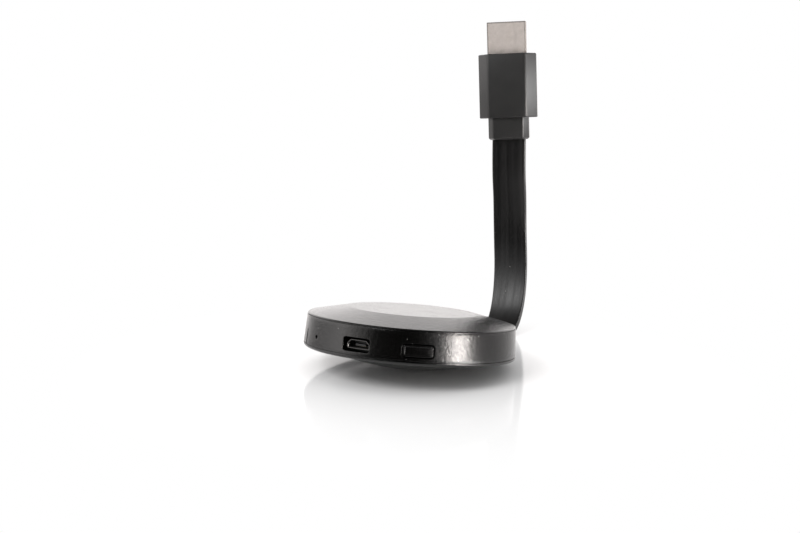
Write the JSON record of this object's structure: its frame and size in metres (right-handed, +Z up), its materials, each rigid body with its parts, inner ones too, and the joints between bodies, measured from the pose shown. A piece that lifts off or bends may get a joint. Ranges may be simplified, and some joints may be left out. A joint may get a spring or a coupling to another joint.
{
  "type": "streaming stick",
  "caption": "Round wireless display dongle with a micro-USB socket, side button and a short flat cable to a bevelled video plug, tipped back on its domed base.",
  "frame": {"origin": "on the surface that the dongle stands on, under the middle of its round case", "axes": "+Z up from that surface, -Y towards the micro-USB socket, +Y towards the flat cable, +X to the right when the socket faces the viewer"},
  "size_m": [0.0678, 0.1155, 0.112],
  "materials": {
    "case_black": "satin",
    "button_black": "satin",
    "socket_metal": "satin",
    "plug_metal": "satin",
    "socket_core": "satin",
    "contact_gold": "polished",
    "switch_white": "satin",
    "board_green": "satin",
    "screw_steel": "satin",
    "chip_black": "matte",
    "pad_grey": "matte",
    "sink_aluminium": "satin",
    "aerial_copper": "satin",
    "coil_grey": "matte",
    "ceramic_tan": "satin",
    "lens_white": "gloss",
    "grommet_black": "matte",
    "cable_black": "satin",
    "wire_colours": "satin",
    "clamp_black": "matte",
    "grip_black": "matte"
  },
  "bodies": {
    "casing": {"top_cover": "case_black", "rim_housing": "case_black", "bottom_cover": "case_black", "usb_shell": "socket_metal", "wifi_shield": "socket_metal", "crystal": "socket_metal", "hdmi_shell": "plug_metal", "usb_tongue": "socket_core", "hdmi_insulator": "socket_core", "switch_body": "socket_core", "usb_contacts": "contact_gold", "hdmi_contacts": "contact_gold", "main_board": "board_green", "wifi_board": "board_green", "board_screws": "screw_steel", "clamp_screws": "screw_steel", "main_chip": "chip_black", "memory_chips": "chip_black", "flash_chip": "chip_black", "thermal_pad": "pad_grey", "heat_sink": "sink_aluminium", "antenna_strip": "aerial_copper", "inductors": "coil_grey", "capacitors": "ceramic_tan", "status_led": "lens_white", "cable_grommet": "grommet_black", "cable_tail": "cable_black", "ribbon_cable": "cable_black", "cable_wires": "wire_colours", "cable_clamp": "clamp_black", "plug_overmould": "grip_black"},
    "button": {"button_cap": "button_black", "switch_plunger": "switch_white"}
  },
  "joints": [
    {"name": "button_press", "type": "slide", "parent": "casing", "child": "button", "axis": [-0.5439, 0.8335, -0.0972], "range_m": [0, 0.0003], "stiffness_N_per_m": 3000}
  ]
}
